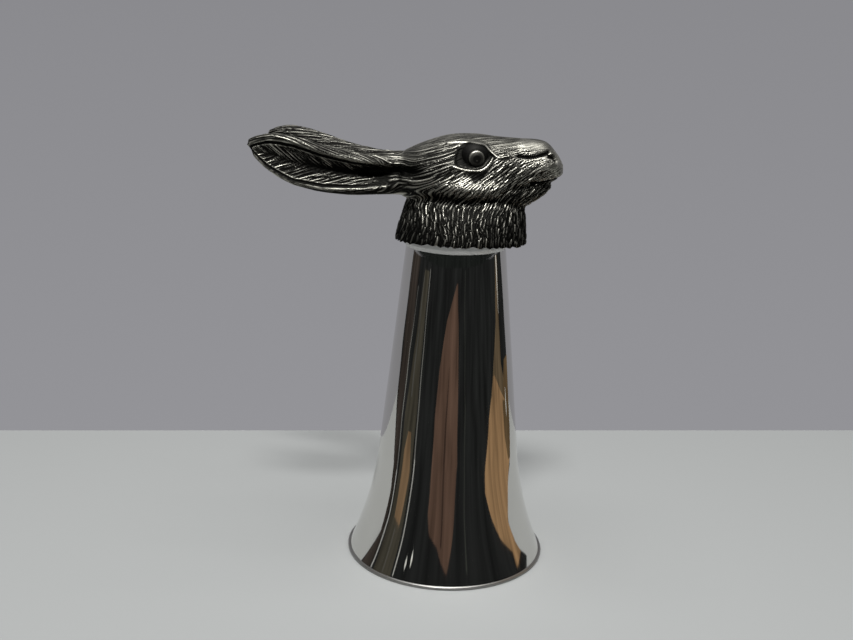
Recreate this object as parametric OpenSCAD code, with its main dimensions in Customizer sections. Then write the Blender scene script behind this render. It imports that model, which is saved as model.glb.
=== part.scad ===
// Stirrup cup that stands on its mouth, with a cast hare's head as its handle.
// Millimetres. Origin at the middle of the mouth on the table, +Z up, the hare looks along +X.

/* [Cup] */
// Outside radius of the wall at the mouth
mouth_r = 29.7; // [27:0.1:33]
// Outside radius where the taper turns into the flare
waist_r = 21.1; // [19:0.1:23]
// Outside radius at the small end
neck_r = 14.1; // [13:0.1:14.6]
// Length of the cup from its mouth to its small end
cup_h = 99; // [80:1:120]
// Height above the mouth where the flare begins
flare_h = 32; // [22:1:45]
// Thickness of the wall
wall_t = 1.2; // [0.9:0.1:1.6]
// Radius of the bead round the mouth
wire_r = 0.5; // [0.3:0.05:0.9]

/* [Floor and collar] */
// Thickness of the disc that closes the small end
floor_t = 1.5; // [1:0.1:3]
// Width of the ledge in the wall that carries the disc
ledge_w = 0.4; // [0.2:0.05:0.5]
// Play left round the disc
floor_play = 0.05; // [0.02:0.01:0.15]
// How far the collar stands out from the wall
collar_w = 1.2; // [0.6:0.1:1.6]
// Height of the collar
collar_h = 4.1; // [3.2:0.1:6]
// Play left between the collar and the head
collar_play = 0.05; // [0.02:0.01:0.15]

/* [Neck] */
// How far the small end reaches up into the head
socket_h = 2.8; // [2.2:0.1:3.6]
// Half the length of the neck at its lower edge
skirt_x = 19; // [18:0.1:22]
// Half the width of the neck at its lower edge
skirt_y = 16.9; // [16.6:0.1:20]
// How far the neck's middle lies in front of the cup's axis
skirt_lead = 1.2; // [0:0.1:2]
// How far the neck's lower edge rises on the flanks
skirt_arch = 1.2; // [0:0.1:1.6]
// Radius of the hollow inside the head
core_r = 10.5; // [7:0.5:11.5]
// Height of the top of that hollow above the neck's lower edge
core_top = 19; // [15:0.5:20]

/* [Head] */
// Reach of the nose in front of the cup's axis
nose_x = 29.5; // [28:0.5:33]
// Distance of the ear seats behind the cup's axis
seat_x = 16; // [15:0.5:18]
// Height of the brow above the neck's lower edge
brow_z = 31; // [30:0.5:34]
// Height of the line of the mouth above the neck's lower edge
mouth_z = 18.4; // [17.5:0.1:19.5]
// Half the width across the cheeks
cheek_y = 12.8; // [12:0.1:14]
// Half the width of the muzzle
muzzle_y = 6.2; // [5:0.1:7.5]
// Radius of a nostril
nostril_r = 0.9; // [0.5:0.1:1.2]
// How far the cheekbones swell
cheekbone = 0.9; // [0.4:0.1:1.2]
// Depth of the hollow between cheek and muzzle
muzzle_dip = 0.6; // [0.2:0.1:0.9]

/* [Eyes] */
// Radius of the bead that makes an eye
eye_r = 4.2; // [3.4:0.1:4.6]
// Distance of the eyes in front of the cup's axis
eye_x = 4.4; // [3:0.1:7]
// Height of the eyes above the neck's lower edge
eye_z = 25.2; // [24:0.1:26]
// How far an eye stands out of the cheek
eye_proud = 0.5; // [0:0.1:1.2]
// Depth of the hollow that each eye lies in
eye_dip = 1.2; // [0.6:0.1:1.5]
// Radius of the iris
iris_r = 2.3; // [1.5:0.1:2.6]
// Depth of the ring cut round the iris
iris_cut = 0.25; // [0.1:0.05:0.4]
// Play left round an eye
eye_play = 0.05; // [0.02:0.01:0.15]

/* [Ears] */
// Length of an ear from its seat to its tip
ear_l = 42; // [36:0.5:48]
// Half the height of an ear at its broadest
ear_h = 7.2; // [6:0.1:8]
// Half the thickness of an ear at its root
ear_t = 3.9; // [3.2:0.1:4.1]
// Depth of the scoop in an ear
scoop = 3.4; // [1.5:0.1:4]
// Distance of each ear's root from the middle of the head
root_y = 4.6; // [4.4:0.1:5]
// How far an ear's tip lies out to the side of its root
splay = 9.2; // [5:0.1:14]
// How far an ear's tip rises above its root
ear_rise = 8.2; // [4:0.1:12]
// Radius of the tenon that seats an ear
tenon_r = 2.2; // [1.5:0.1:2.6]
// Length of that tenon
tenon_l = 4; // [3:0.5:6]
// Play left round a tenon
tenon_play = 0.05; // [0.02:0.01:0.15]

/* [Smoothness] */
// Sections along the skull
skull_steps = 50; // [30:2:60]
// Points round each section of the head
skull_points = 56; // [36:4:64]
// Sections along an ear
ear_steps = 28; // [18:2:34]
// Points round each section of an ear
ear_points = 32; // [24:8:40]

/* [Hidden] */
$fn = 96;
skirt_z = cup_h - socket_h;
under_z = skirt_arch + 0.1;
run = [waist_r - neck_r, flare_h - cup_h];
taper = run / norm(run);
outward = [-taper[1], taper[0]];
slope = run[0] / run[1];
chord = [mouth_r - waist_r, -flare_h];
flare_r = chord * chord / (2 * chord * outward);
flare_c = [waist_r, flare_h] + flare_r * outward;
wire_z = 2 * wire_r;
collar_r = neck_r + collar_w;
socket_r = collar_r + collar_play;
ledge_z = cup_h - floor_t;
ledge_r = neck_r - slope * floor_t - wall_t / outward[0] + ledge_w;
ear_z = 19.5;
core_dome = core_top - core_r;
nostril = [nose_x - 3.4, muzzle_y - 2.3, mouth_z + 6.8];

// Skull sections: x, top, bottom, height of the widest line, half width, squareness
skull = [
    [-seat_x, brow_z - 5.5, 12.8, 19, 8.9, 2.3],
    [-10.5, brow_z - 2.9, 11.8, 18.6, 11.2, 2.3],
    [-3.5, brow_z - 0.6, 11, 18, cheek_y - 0.3, 2.35],
    [3.5, brow_z, 11, 17.6, cheek_y, 2.4],
    [10.5, brow_z - 0.5, 11.6, 18.2, cheek_y - 2, 2.4],
    [17, brow_z - 0.8, mouth_z - 3, 20.4, muzzle_y + 2.4, 2.35],
    [22, brow_z - 0.9, mouth_z - 0.4, 22, muzzle_y + 0.8, 2.3],
    [25, brow_z - 1.9, mouth_z, 22.4, muzzle_y, 2.25],
    [nose_x - 2, brow_z - 4.6, mouth_z + 0.4, 22.2, muzzle_y - 1.2, 2.2],
    [nose_x - 0.7, brow_z - 6.4, mouth_z + 1.6, 22.2, muzzle_y - 3, 2.1],
    [nose_x, brow_z - 7.8, mouth_z + 3, 22.2, 1.2, 2]
];

// Jaw sections, with the same columns
jaw = [
    [4, mouth_z + 1, 8, 14, 8.5, 2],
    [12, mouth_z + 1, 9, 14.5, 8.6, 2.1],
    [18, mouth_z + 0.8, 10.4, 15.4, 7.4, 2.2],
    [22.5, mouth_z + 0.4, 13.2, 16.6, 5.4, 2.2],
    [25.2, mouth_z, 15.4, 17, 3.6, 2.1],
    [26.4, mouth_z - 0.4, 17, 17.4, 1.4, 2]
];

// Swells and hollows of each side of the face: x, height, half length, half height, how far out
swells = [
    [eye_x - 0.4, eye_z + 0.6, 6, 3.5, -eye_dip],
    [3, mouth_z - 2, 8.5, 2.6, cheekbone],
    [4.5, mouth_z + 1.7, 8, 1.9, -0.7],
    [14, mouth_z + 2, 2.4, 4, -muzzle_dip],
    [24, mouth_z + 4.6, 3.2, 2.6, 0.5],
    [0, brow_z - 0.8, 7, 1.8, 0.4]
];

// Neck sections: height, middle in front of the axis, half length, half width
neck = [
    [0, skirt_lead, skirt_x, skirt_y],
    [3, skirt_lead + 0.2, skirt_x - 0.3, skirt_y - 0.5],
    [8, skirt_lead + 0.7, skirt_x - 1.2, skirt_y - 2.2],
    [12, skirt_lead + 0.7, skirt_x - 2.4, skirt_y - 4.8],
    [16, skirt_lead, skirt_x - 5, skirt_y - 7.6]
];

// Ear sections as shares: length, height, thickness, scoop, splay, rise, opening of the scoop
ear = [
    [0, 0.8, 1, 0.4, 0, 0, 0.45],
    [0.1, 0.76, 0.94, 0.66, 0.16, -0.03, 0.57],
    [0.27, 0.81, 0.86, 0.9, 0.42, -0.01, 0.68],
    [0.46, 0.89, 0.82, 1, 0.65, 0.11, 0.75],
    [0.65, 0.94, 0.78, 0.95, 0.83, 0.35, 0.8],
    [0.83, 0.77, 0.68, 0.75, 0.94, 0.65, 0.84],
    [0.94, 0.44, 0.5, 0.42, 0.99, 0.84, 0.84],
    [1, 0.1, 0.2, 0.1, 1, 1, 0.84]
];

// A smooth way through four neighbouring rows
function blend(a, b, c, d, t) =
    (2 * b + (c - a) * t + (2 * a - 5 * b + 4 * c - d) * t * t
    + (3 * b - a - 3 * c + d) * t * t * t) / 2;

// The row at a share u of the way through a table
function along(rows, u) =
    let (last = len(rows) - 1, k = min(floor(u * last), last - 1))
    blend(rows[max(k - 1, 0)], rows[k], rows[k + 1], rows[min(k + 2, last)], u * last - k);

function bow(v, squareness) = sign(v) * pow(abs(v), 2 / squareness);

// The column k of the skull's table at a distance x along it
function skull_at(x, k) = lookup(x, [for (s = skull) [s[0], s[k]]]);

// Half the skull's width at a place above its widest line
function skull_y(x, z) =
    let (
        n = skull_at(x, 5),
        up = (z - skull_at(x, 3)) / (skull_at(x, 1) - skull_at(x, 3))
    )
    skull_at(x, 4) * pow(1 - pow(up, n), 1 / n);

eye_y = skull_y(eye_x, eye_z) - eye_r + eye_proud;

// Outside radius of the flare at a height
function flare_at(z) = flare_c[0] - sqrt(flare_r * flare_r - pow(z - flare_c[1], 2));

wire_lean = (flare_at(wire_z) - mouth_r) / wire_z;

// How far the face swells at a place in its side view
function swell(x, z) =
    [for (w = swells) w[4] * exp(-pow(norm([(x - w[0]) / w[2], (z - w[1]) / w[3]]), 3))]
    * [for (w = swells) 1];

// A section of the skull or jaw across X, with or without the swells of the face
function head_ring(s, face) = [
    for (i = [0 : skull_points - 1])
        let (
            a = -360 * i / skull_points,
            up = bow(sin(a), s[5]),
            y = s[4] * bow(cos(a), s[5]),
            z = s[3] + up * (up > 0 ? s[1] - s[3] : s[3] - s[2])
        )
        [s[0], y + face * sign(y) * min(1, abs(y) / 3) * swell(s[0], z), z]
];

// A level section of the neck, raised on the flanks
function neck_ring(s, arch) = [
    for (i = [0 : skull_points - 1])
        let (a = -360 * i / skull_points)
        [s[1] + s[2] * cos(a), s[3] * sin(a), s[0] + arch * sin(a) * sin(a)]
];

// The angle of each point round an ear, with corners at both edges of the scoop's opening
function ear_turn(i, edge) =
    let (q = ear_points / 8, j = i - q)
    i < q ? -90 + (90 - edge) * i / q
    : j < 2 * q ? -edge + edge * j / q
    : j < 3 * q ? edge + (90 - edge) * (j - 2 * q) / q
    : 90 + 45 * (j - 3 * q) / q;

// A section of an ear across X, hollowed on the side away from the head
function ear_ring(s) = [
    for (i = [0 : ear_points - 1])
        let (
            a = ear_turn(i, asin(s[6])),
            up = sin(a),
            out = cos(a),
            dish = out > 0 ? s[3] * scoop * pow(max(0, 1 - pow(up / s[6], 2)), 0.8) : 0
        )
        [
            -seat_x - s[0] * ear_l,
            root_y + s[4] * splay + s[2] * ear_t * out - dish,
            ear_z + s[5] * ear_rise + s[1] * ear_h * up
        ]
];

// A section of an ear's tenon, some way in front of the seat
function tenon_ring(reach) = [
    for (i = [0 : ear_points - 1])
        let (a = ear_turn(i, asin(ear[0][6])))
        [-seat_x + reach, root_y + tenon_r * cos(a), ear_z + tenon_r * sin(a)]
];

// A closed skin over sections with the same number of points
module skin(rings) {
    n = len(rings[0]);
    last = len(rings) - 1;
    walls = [
        for (k = [0 : last - 1], i = [0 : n - 1])
            let (p = k * n + i, q = k * n + (i + 1) % n)
            each [[p, q, p + n], [q, q + n, p + n]]
    ];
    polyhedron(
        points = [for (r = rings) each r],
        faces = concat(walls, [
            [for (i = [n - 1 : -1 : 0]) i],
            [for (i = [0 : n - 1]) last * n + i]
        ])
    );
}

module loft(rows, steps, face) {
    skin([for (k = [0 : steps]) head_ring(along(rows, k / steps), face)]);
}

module neck_loft() {
    under = [under_z, 0, socket_r + 0.4, socket_r + 0.4];
    body = [
        for (k = [0 : 10])
            let (s = along(neck, k / 10))
            neck_ring(s, skirt_arch * max(0, 1 - s[0] / 6))
    ];
    skin(concat([neck_ring(under, 0)], body));
}

// All that lies inside the cup's outside face, thinned by an inset
module cup_body(inset, over) {
    split = [waist_r, flare_h] - inset * outward;
    rotate_extrude() {
        difference() {
            translate([0, -over]) square([mouth_r + 4, split[1] + over]);
            translate(flare_c) circle(r = flare_r + inset, $fn = 360);
        }
    }
    translate([0, 0, split[1]])
        cylinder(
            r1 = split[0],
            r2 = split[0] + slope * (cup_h + over - split[1]),
            h = cup_h + over - split[1]
        );
}

module cup_wall() {
    color("silver") difference() {
        cup_body(0, 0);
        cup_body(wall_t, 1);
        translate([0, 0, ledge_z]) cylinder(r = ledge_r, h = floor_t + 1);
    }
}

module rim_wire() {
    color("lightgray") rotate_extrude() difference() {
        translate([flare_at(wire_r), wire_r]) circle(r = wire_r);
        polygon([
            [0, -1],
            [mouth_r - wire_lean, -1],
            [mouth_r + wire_lean * (wire_z + 1), wire_z + 1],
            [0, wire_z + 1]
        ]);
    }
}

module cup_floor() {
    color("gainsboro") translate([0, 0, ledge_z]) cylinder(r = ledge_r - floor_play, h = floor_t);
}

module solder_collar() {
    color("whitesmoke") difference() {
        rotate_extrude() translate([0, cup_h - collar_h]) {
            translate([neck_r - 1, collar_w]) square([collar_w + 1, collar_h - collar_w]);
            translate([neck_r, collar_w]) circle(r = collar_w);
        }
        cup_body(0, 0);
    }
}

module head_casting() {
    color("dimgray") translate([0, 0, skirt_z]) difference() {
        union() {
            loft(skull, skull_steps, 1);
            loft(jaw, 12, 0);
            neck_loft();
        }
        translate([0, 0, -1]) cylinder(r = socket_r, h = socket_h + 1);
        cylinder(r = core_r, h = core_dome);
        translate([0, 0, core_dome]) sphere(r = core_r);
        for (side = [-1, 1]) {
            translate([eye_x, side * eye_y, eye_z]) sphere(r = eye_r + eye_play);
            translate([nostril[0], side * nostril[1], nostril[2]]) sphere(r = nostril_r);
            translate([-seat_x - 1, side * root_y, ear_z])
                rotate([0, 90, 0]) cylinder(r = tenon_r + tenon_play, h = tenon_l + 1.2);
        }
    }
}

module ear_body() {
    tenon = [for (reach = [tenon_l, 0]) tenon_ring(reach)];
    blade = [for (k = [0 : ear_steps]) ear_ring(along(ear, k / ear_steps))];
    translate([0, 0, skirt_z]) skin(concat(tenon, blade));
}

module right_ear() {
    color("gray") mirror([0, 1, 0]) ear_body();
}

module left_ear() {
    color("gray") ear_body();
}

// An eye that looks along its own +Z
module eye_bead() {
    difference() {
        sphere(r = eye_r);
        rotate_extrude() translate([iris_r, sqrt(eye_r * eye_r - iris_r * iris_r)]) circle(r = iris_cut);
    }
}

module right_eye() {
    color("black") translate([eye_x, -eye_y, skirt_z + eye_z]) rotate([90, 0, 0]) eye_bead();
}

module left_eye() {
    color("black") translate([eye_x, eye_y, skirt_z + eye_z]) rotate([-90, 0, 0]) eye_bead();
}

cup_wall();
rim_wire();
cup_floor();
solder_collar();
head_casting();
right_ear();
left_ear();
right_eye();
left_eye();
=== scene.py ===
"""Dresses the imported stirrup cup: polished trumpet cup, bright solder and a cast hare's head."""

import math

import bmesh
import bpy
import numpy as np
from bpy.props import FloatProperty, FloatVectorProperty, IntProperty, PointerProperty
from mathutils import Matrix, Vector


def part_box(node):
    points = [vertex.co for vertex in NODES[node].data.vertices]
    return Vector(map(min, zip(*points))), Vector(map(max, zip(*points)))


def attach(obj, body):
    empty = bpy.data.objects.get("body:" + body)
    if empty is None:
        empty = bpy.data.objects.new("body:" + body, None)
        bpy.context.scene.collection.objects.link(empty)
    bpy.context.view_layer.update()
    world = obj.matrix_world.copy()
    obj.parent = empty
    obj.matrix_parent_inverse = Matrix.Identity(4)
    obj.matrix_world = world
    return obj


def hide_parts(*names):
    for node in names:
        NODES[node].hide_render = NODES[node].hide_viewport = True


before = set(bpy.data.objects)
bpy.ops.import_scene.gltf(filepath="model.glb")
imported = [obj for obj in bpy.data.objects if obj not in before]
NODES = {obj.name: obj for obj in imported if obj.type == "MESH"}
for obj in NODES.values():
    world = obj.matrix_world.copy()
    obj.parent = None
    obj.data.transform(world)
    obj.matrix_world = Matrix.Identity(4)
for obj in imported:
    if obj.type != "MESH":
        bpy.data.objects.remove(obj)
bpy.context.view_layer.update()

bl_info = {
    "name": "Stirrup cup",
    "version": (1, 0, 0),
    "blender": (4, 5, 0),
    "location": "View3D > Sidebar > Stirrup cup",
    "description": "Builds the looks of a stirrup cup with a hare's head",
    "category": "Add Mesh",
}

MM = 0.001
BODY = "root"


def middle(node):
    """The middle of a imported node's box, in metres."""
    low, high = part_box(node)
    return (low + high) / 2


CUP_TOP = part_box("cup_wall")[1].z
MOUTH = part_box("cup_wall")[1].x
COLLAR_LOW, COLLAR_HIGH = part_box("solder_collar")
SKIRT_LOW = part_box("head_casting")[0].z / MM
SEAT_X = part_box("head_casting")[0].x / MM


# Sizes and colours that a user would change


def length(label, about, default, low, high):
    return FloatProperty(
        name=label, description=about, default=default, min=low, max=high,
        unit="LENGTH", subtype="DISTANCE", precision=5,
    )


def colour(label, about, default):
    return FloatVectorProperty(
        name=label, description=about, default=default, min=0.0, max=1.0,
        size=3, subtype="COLOR",
    )


class CupSizes(bpy.types.PropertyGroup):
    """Sizes of the spun cup."""

    mouth_radius: length("Mouth", "Outside radius at the mouth", MOUTH, 0.02, 0.04)
    waist_radius: length("Waist", "Outside radius where the flare begins", 0.0211, 0.015, 0.03)
    neck_radius: length("Small end", "Outside radius at the small end", 0.0141, 0.01, 0.02)
    flare_height: length("Flare", "Height at which the flare begins", 0.032, 0.01, 0.06)
    height: length("Height", "Length of the cup", CUP_TOP, 0.06, 0.15)
    wall: length("Wall", "Thickness of the wall", 0.0012, 0.0005, 0.003)
    bead: length("Bead", "Radius of the bead at the mouth", 0.0005, 0.0002, 0.001)
    ripple: length("Ripple", "Depth of the unevenness left by spinning", 0.000012, 0.0, 0.0001)
    turns: IntProperty(
        name="Steps", description="Steps round the cup", default=320, min=48, max=512
    )


class CastingSizes(bpy.types.PropertyGroup):
    """Sizes of the carved casting."""

    grain: length("Grain", "Size of the casting's mesh", 0.00021, 0.00015, 0.001)
    lock_width: length("Lock width", "Width of a lock of fur", 0.0008, 0.0004, 0.003)
    lock_length: length("Lock length", "Length of a lock of fur", 0.005, 0.001, 0.01)
    lock_depth: length("Lock depth", "Depth of the cuts between locks", 0.00045, 0.0, 0.001)
    seed: IntProperty(name="Seed", description="Seed of the fur", default=7, min=0, max=999)


class Finishes(bpy.types.PropertyGroup):
    """Colours of the finishes and of the stage."""

    polish: colour("Polish", "Polished pewter", (0.70, 0.69, 0.66))
    solder: colour("Solder", "Bright solder", (0.78, 0.78, 0.76))
    # Rubbed and Patina are also the bright and dark ends of the painted highlights and painted
    # shade that the casting's relief carries
    rubbed: colour("Rubbed", "Pewter rubbed bright on the fur", (0.55, 0.535, 0.465))
    patina: colour("Patina", "Dark patina in the hollows", (0.012, 0.0118, 0.0105))
    eye: colour("Eye", "Darkened eye", (0.02, 0.0195, 0.018))
    table: colour("Table", "Pale table", (0.415, 0.425, 0.42))
    wall: colour("Backdrop", "Pale grey backdrop", (0.296, 0.295, 0.314))


# Small helpers


def finish_piece(piece, material, node):
    """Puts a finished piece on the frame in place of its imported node."""
    piece.data.materials.clear()
    piece.data.materials.append(material)
    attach(piece, BODY)
    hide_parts(node)


def piece_from(bm, name):
    mesh = bpy.data.meshes.new(name)
    bm.to_mesh(mesh)
    bm.free()
    piece = bpy.data.objects.new(name, mesh)
    bpy.context.scene.collection.objects.link(piece)
    return piece


def smooth_shaded(mesh, sharp_degrees):
    mesh.shade_smooth()
    mesh.set_sharp_from_angle(angle=math.radians(sharp_degrees))


def spun(outline, steps):
    """A bmesh turned about Z from a closed outline of (radius, height)."""
    bm = bmesh.new()
    ring = [bm.verts.new((r, 0.0, z)) for r, z in outline]
    edges = [bm.edges.new((a, b)) for a, b in zip(ring, ring[1:] + ring[:1])]
    bmesh.ops.spin(
        bm, geom=ring + edges, cent=(0, 0, 0), axis=(0, 0, 1), dvec=(0, 0, 0),
        angle=2 * math.pi, steps=steps, use_merge=True, use_duplicate=False,
    )
    bmesh.ops.remove_doubles(bm, verts=bm.verts, dist=1e-7)
    bmesh.ops.recalc_face_normals(bm, faces=bm.faces)
    return bm


# The carver's tools, all in millimetres


HASH_FACTORS = (374761393, 668265263, 1442695041, 974634077)
HASH_STIR = 1274126177
WORD, HALF_WORD = 0xFFFFFFFF, 0xFFFF


def lattice(cells, seed):
    """A fixed pseudo-random value from 0 to 1 for each whole-numbered cell."""
    c = cells.astype(np.int64)
    n = sum(c[..., k] * HASH_FACTORS[k] for k in range(3)) + seed * HASH_FACTORS[3]
    n = (n & WORD) ^ ((n & WORD) >> 13)
    n = (n * HASH_STIR) & WORD
    return ((n ^ (n >> 16)) & HALF_WORD) / HALF_WORD


def grain_noise(points, cell, seed):
    """Smooth noise from 0 to 1 with features about one cell wide."""
    p = points / cell
    base = np.floor(p)
    t = p - base
    t = t * t * (3 - 2 * t)
    total = np.zeros(len(points))
    for corner in np.ndindex(2, 2, 2):
        share = np.ones(len(points))
        for axis in range(3):
            share *= t[:, axis] if corner[axis] else 1 - t[:, axis]
        total += share * lattice(base + np.array(corner), seed)
    return total


def step(low, high, value):
    t = np.clip((value - low) / (high - low), 0.0, 1.0)
    return t * t * (3 - 2 * t)


def bell(value, width):
    """1 where a value is nought, and less and less over some widths."""
    return np.exp(-((value / width) ** 2))


def mound(x, z, at, size, flat=2):
    """A round swell in the side view; flat is how level it is along x."""
    return np.exp(-(((x - at[0]) / size[0]) ** flat) - ((z - at[1]) / size[1]) ** 2)


def unit(vectors):
    return vectors / np.maximum(np.linalg.norm(vectors, axis=1, keepdims=True), 1e-9)


def curved(path, closed=False):
    """A path of (x, z) drawn as a smooth curve through its points."""
    p = np.array(path, float)
    last = len(p) if closed else len(p) - 1
    pick = (lambda k: p[k % len(p)]) if closed else (lambda k: p[min(max(k, 0), len(p) - 1)])
    out = []
    for k in range(last):
        a, b, c, d = (pick(k + j) for j in (-1, 0, 1, 2))
        for t in (0, 0.25, 0.5, 0.75):
            bend = 2 * a - 5 * b + 4 * c - d + t * (3 * (b - c) + d - a)
            out.append(b + 0.5 * t * (c - a + t * bend))
    return [tuple(q) for q in out] + ([] if closed else [tuple(p[-1])])


def path_distance(x, z, path):
    """Distance in the side view from points to a path of (x, z)."""
    best = np.full(len(x), 1e9)
    for (ax, az), (bx, bz) in zip(path, path[1:]):
        dx, dz = bx - ax, bz - az
        t = np.clip(((x - ax) * dx + (z - az) * dz) / (dx * dx + dz * dz), 0, 1)
        best = np.minimum(best, np.hypot(x - ax - t * dx, z - az - t * dz))
    return best


def inside(x, z, outline):
    """Signed distance in the side view, positive inside an outline of (x, z)."""
    closed = list(outline) + [outline[0]]
    within = np.zeros(len(x), bool)
    for (ax, az), (bx, bz) in zip(closed, closed[1:]):
        crosses = (az > z) != (bz > z)
        slope = (bx - ax) / (bz - az if abs(bz - az) > 1e-9 else 1e-9)
        within ^= crosses & (x < ax + (z - az) * slope)
    distance = path_distance(x, z, closed)
    return np.where(within, distance, -distance)


class Surface:
    """Points, normals and edges of a mesh in millimetres, for carving."""

    def __init__(self, mesh):
        self.mesh = mesh
        n = len(mesh.vertices)
        self.points = np.empty(n * 3)
        mesh.vertices.foreach_get("co", self.points)
        self.points = self.points.reshape(-1, 3) / MM
        self.edges = np.empty(len(mesh.edges) * 2, np.int32)
        mesh.edges.foreach_get("vertices", self.edges)
        self.edges = self.edges.reshape(-1, 2)
        a, b = self.edges.T
        self.links = np.maximum(np.bincount(a, minlength=n) + np.bincount(b, minlength=n), 1)

    def averaged(self, values):
        """Each point's mean over its neighbours."""
        a, b = self.edges.T
        n = len(values)
        if values.ndim == 1:
            total = np.bincount(a, values[b], n) + np.bincount(b, values[a], n)
            return total / self.links
        return np.stack([self.averaged(values[:, k]) for k in range(values.shape[1])], 1)

    def relaxed(self, values, rounds, share=0.5):
        """Points drawn towards their neighbours, by one share or by each point's own."""
        keep = share[:, None] if isinstance(share, np.ndarray) else share
        for _ in range(rounds):
            values = values + keep * (self.averaged(values) - values)
        return values

    def store(self):
        self.mesh.vertices.foreach_set("co", (self.points * MM).ravel())
        self.mesh.update()

    def normals(self):
        self.store()
        out = np.empty(len(self.points) * 3)
        self.mesh.vertex_normals.foreach_get("vector", out)
        return out.reshape(-1, 3)


# How the fur lies in the side view: x, height, and the way that a hair points
HAIR = np.array([
    (25, 125.5, -1, 0.05), (18, 126.2, -1, 0.02), (11, 126.6, -1, 0), (4, 127, -1, -0.05),
    (-3, 126.4, -1, -0.15), (-9, 124.6, -1, -0.25), (-15, 122, -1, -0.1), (-15, 117, -1, -0.05),
    (-15, 112, -0.9, -0.4), (14, 123.8, -1, -0.1), (19, 123.4, -0.95, -0.2), (24, 119, -0.6, -0.65),
    (20.5, 118, -0.58, -0.8), (16, 120.5, -0.62, -0.75), (12.5, 118.5, -0.55, -0.85),
    (16, 115, -0.5, -0.85), (24.5, 115.8, -0.85, -0.35), (22, 112, -0.7, -0.6),
    (9, 114, -0.5, -0.85), (4, 112, -0.5, -0.85), (0, 113, -0.6, -0.8), (-2.5, 117, -0.86, -0.52),
    (-4.5, 121, -0.97, -0.22), (-6, 113, -0.75, -0.65), (-10, 117.5, -0.93, -0.3),
    (-11, 112, -0.7, -0.7), (18, 104, 0.05, -1), (10, 104, 0.05, -1), (0, 104, 0, -1),
    (-9, 104, -0.15, -1), (-15, 104, -0.25, -1), (8, 98, 0.02, -1), (-8, 98, -0.1, -1),
])

# Lines of the face in the side view, as x and height
EYE_HOLLOW = [
    (-0.9, 121.2), (-0.2, 123.6), (2.0, 125.2), (4.7, 125.4), (7.0, 124.6), (8.6, 123.2),
    (10.2, 122.0), (9.3, 121.5), (8.4, 120.2), (6.9, 118.9), (5.0, 118.5), (1.9, 118.7),
    (-0.4, 119.5),
]
UPPER_LID = [
    (-3.2, 125.0), (-1.0, 125.3), (1.6, 125.4), (4.7, 125.4), (7.1, 124.8), (8.7, 123.4),
    (10.4, 122.0), (11.4, 121.7),
]
LOWER_LID = [(-1.2, 119.1), (1.9, 118.3), (5.0, 118.1), (7.0, 118.5), (8.6, 119.9), (9.5, 121.6)]
INNER_LID = [(0.7, 119.5), (3.4, 118.9), (5.6, 118.9), (7.2, 119.6), (8.4, 121.2)]
TEAR = [(2.6, 117.8), (8.2, 118.2), (7.6, 116.0), (5.4, 114.2), (4.0, 115.0)]
NOSTRIL = [(27.1, 121.0), (26.5, 121.9), (25.3, 122.3)]
ALAR = [(22.6, 121.8), (24.2, 121.6), (25.8, 120.9), (27.3, 119.7)]
WING = [(24.8, 123.2), (22.3, 122.4), (19.6, 122.0), (16.8, 122.3)]
# Where a painted shadow runs under the cheek
JAW_SHADOW = [(-6.0, 110.4), (0.0, 109.9), (6.0, 109.6), (12.0, 109.9), (17.0, 111.2)]
MOUTH_LINE = [(28.6, 116.0), (26.0, 115.4), (23.0, 114.9), (20.6, 114.6)]
LIP = [(29.0, 117.4), (26.5, 116.6), (23.0, 116.0), (20.0, 115.6)]
CHEEKBONE = [(-4.0, 113.6), (1.0, 113.0), (6.5, 111.8), (10.5, 112.6)]
CHEEK_EDGE = [
    (-14.0, 111.6), (-9.0, 110.2), (-4.6, 108.8), (0.0, 107.6), (4.5, 107.2), (9.5, 107.6),
    (14.5, 108.6), (19.0, 107.4),
]
EAR_TROUGH = [(-26.0, 116.6), (-20.0, 116.5), (-13.0, 116.6), (-8.0, 117.6)]

# Ear sections, as in the solid: shares of length, height, rise and opening
EAR_ROWS = np.array([
    [0, 0.8, 0, 0.45],
    [0.1, 0.76, -0.03, 0.57],
    [0.27, 0.81, -0.01, 0.68],
    [0.46, 0.89, 0.11, 0.75],
    [0.65, 0.94, 0.35, 0.8],
    [0.83, 0.77, 0.65, 0.84],
    [0.94, 0.44, 0.84, 0.84],
    [1, 0.1, 1, 0.84],
])
EAR_LENGTH, EAR_HEIGHT, EAR_RISE = 42.0, 7.2, 8.2
EAR_ROOT_Z = SKIRT_LOW + 19.5
OPENING_END, OPENING_TAPER = 0.78, 0.17


def ear_place(points):
    """Where points lie on an ear: shares of its length and height, and how far in its opening."""
    s = np.clip((SEAT_X - points[:, 0]) / EAR_LENGTH, 0, 1)
    tall, rise, opening = (np.interp(s, EAR_ROWS[:, 0], EAR_ROWS[:, k]) for k in (1, 2, 3))
    tall = tall * EAR_HEIGHT
    up = (points[:, 2] - EAR_ROOT_Z - rise * EAR_RISE) / tall
    end = np.clip((s - OPENING_END) / OPENING_TAPER, 0, 2)
    opening = opening * (1 - 0.2 * step(0.65, 0.9, s))
    slope = 2 * np.hypot(up / opening ** 2 / tall, end / (OPENING_TAPER * EAR_LENGTH))
    return s, up, (1 - (up / opening) ** 2 - end ** 2) / (slope + 1e-3)


PACE_ROUNDS, PACE_RANGE = 12, (0.85, 1.5)


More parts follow.
